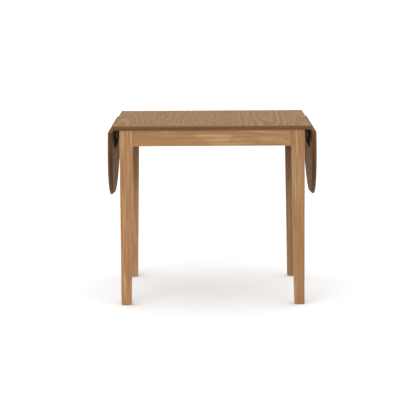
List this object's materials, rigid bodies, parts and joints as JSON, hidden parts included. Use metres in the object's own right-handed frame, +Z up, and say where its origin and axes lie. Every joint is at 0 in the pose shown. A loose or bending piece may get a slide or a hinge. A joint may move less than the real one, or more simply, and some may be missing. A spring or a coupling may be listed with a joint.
{
  "type": "drop leaf table",
  "caption": "Wooden dining table with square tapered legs and half-oval drop leaves that hang on flap hinges at the sides and lock level on folding steel brackets.",
  "frame": {"origin": "on the floor, under the centre of the table with both leaves hanging", "axes": "+X to the right, across both hinge lines; +Y to the back; +Z up, out of the tabletop"},
  "size_m": [0.8724, 0.75, 0.75],
  "materials": {
    "veneered_board": "matt lacquered oak veneer with darker edges",
    "solid_oak": "matt lacquered straight-grained oak",
    "softwood": "sawn, unfinished",
    "black_steel": "satin black",
    "bronzed_steel": "dull bronzed",
    "zinc_steel": "zinc plated",
    "nylon": "moulded"
  },
  "bodies": {
    "frame": {"table_top": "veneered_board", "leg_front_left": "solid_oak", "glide_front_left": "nylon", "corner_block_front_left": "softwood", "hanger_bolt_front_left": "zinc_steel", "wing_nut_front_left": "zinc_steel", "leg_front_right": "solid_oak", "glide_front_right": "nylon", "corner_block_front_right": "softwood", "hanger_bolt_front_right": "zinc_steel", "wing_nut_front_right": "zinc_steel", "leg_back_left": "solid_oak", "glide_back_left": "nylon", "corner_block_back_left": "softwood", "hanger_bolt_back_left": "zinc_steel", "wing_nut_back_left": "zinc_steel", "leg_back_right": "solid_oak", "glide_back_right": "nylon", "corner_block_back_right": "softwood", "hanger_bolt_back_right": "zinc_steel", "wing_nut_back_right": "zinc_steel", "apron_front": "solid_oak", "angle_clip_front": "zinc_steel", "apron_back": "solid_oak", "angle_clip_back": "zinc_steel", "apron_left": "solid_oak", "angle_clip_left": "zinc_steel", "apron_right": "solid_oak", "angle_clip_right": "zinc_steel", "hinge_top_plate_left_front": "bronzed_steel", "hinge_pin_left_front": "bronzed_steel", "bracket_base_left_front": "black_steel", "bracket_rivet_left_front": "black_steel", "hinge_top_plate_left_back": "bronzed_steel", "hinge_pin_left_back": "bronzed_steel", "bracket_base_left_back": "black_steel", "bracket_rivet_left_back": "black_steel", "hinge_top_plate_right_front": "bronzed_steel", "hinge_pin_right_front": "bronzed_steel", "bracket_base_right_front": "black_steel", "bracket_rivet_right_front": "black_steel", "hinge_top_plate_right_back": "bronzed_steel", "hinge_pin_right_back": "bronzed_steel", "bracket_base_right_back": "black_steel", "bracket_rivet_right_back": "black_steel"},
    "left_leaf": {"leaf_left": "veneered_board", "hinge_leaf_plate_left_front": "bronzed_steel", "hinge_leaf_plate_left_back": "bronzed_steel", "bracket_arm_left_front": "black_steel", "bracket_arm_left_back": "black_steel"},
    "right_leaf": {"leaf_right": "veneered_board", "hinge_leaf_plate_right_front": "bronzed_steel", "hinge_leaf_plate_right_back": "bronzed_steel", "bracket_arm_right_front": "black_steel", "bracket_arm_right_back": "black_steel"},
    "left_front_lever": {"bracket_lever_left_front": "black_steel"},
    "left_back_lever": {"bracket_lever_left_back": "black_steel"},
    "right_front_lever": {"bracket_lever_right_front": "black_steel"},
    "right_back_lever": {"bracket_lever_right_back": "black_steel"}
  },
  "joints": [
    {"name": "left_leaf_hinge", "type": "hinge", "parent": "frame", "child": "left_leaf", "pos_m": [-0.40465, 0, 0.72685], "axis": [0, 1, 0], "range_deg": [0, 88.4]},
    {"name": "right_leaf_hinge", "type": "hinge", "parent": "frame", "child": "right_leaf", "pos_m": [0.40465, 0, 0.72685], "axis": [0, -1, 0], "range_deg": [0, 88.4]},
    {"name": "left_front_lever_pivot", "type": "hinge", "parent": "frame", "child": "left_front_lever", "pos_m": [-0.3865, -0.17, 0.706], "axis": [0, 1, 0], "range_deg": [0, 90]},
    {"name": "left_back_lever_pivot", "type": "hinge", "parent": "frame", "child": "left_back_lever", "pos_m": [-0.3865, 0.17, 0.706], "axis": [0, 1, 0], "range_deg": [0, 90]},
    {"name": "right_front_lever_pivot", "type": "hinge", "parent": "frame", "child": "right_front_lever", "pos_m": [0.3865, -0.17, 0.706], "axis": [0, -1, 0], "range_deg": [0, 90]},
    {"name": "right_back_lever_pivot", "type": "hinge", "parent": "frame", "child": "right_back_lever", "pos_m": [0.3865, 0.17, 0.706], "axis": [0, -1, 0], "range_deg": [0, 90]}
  ]
}
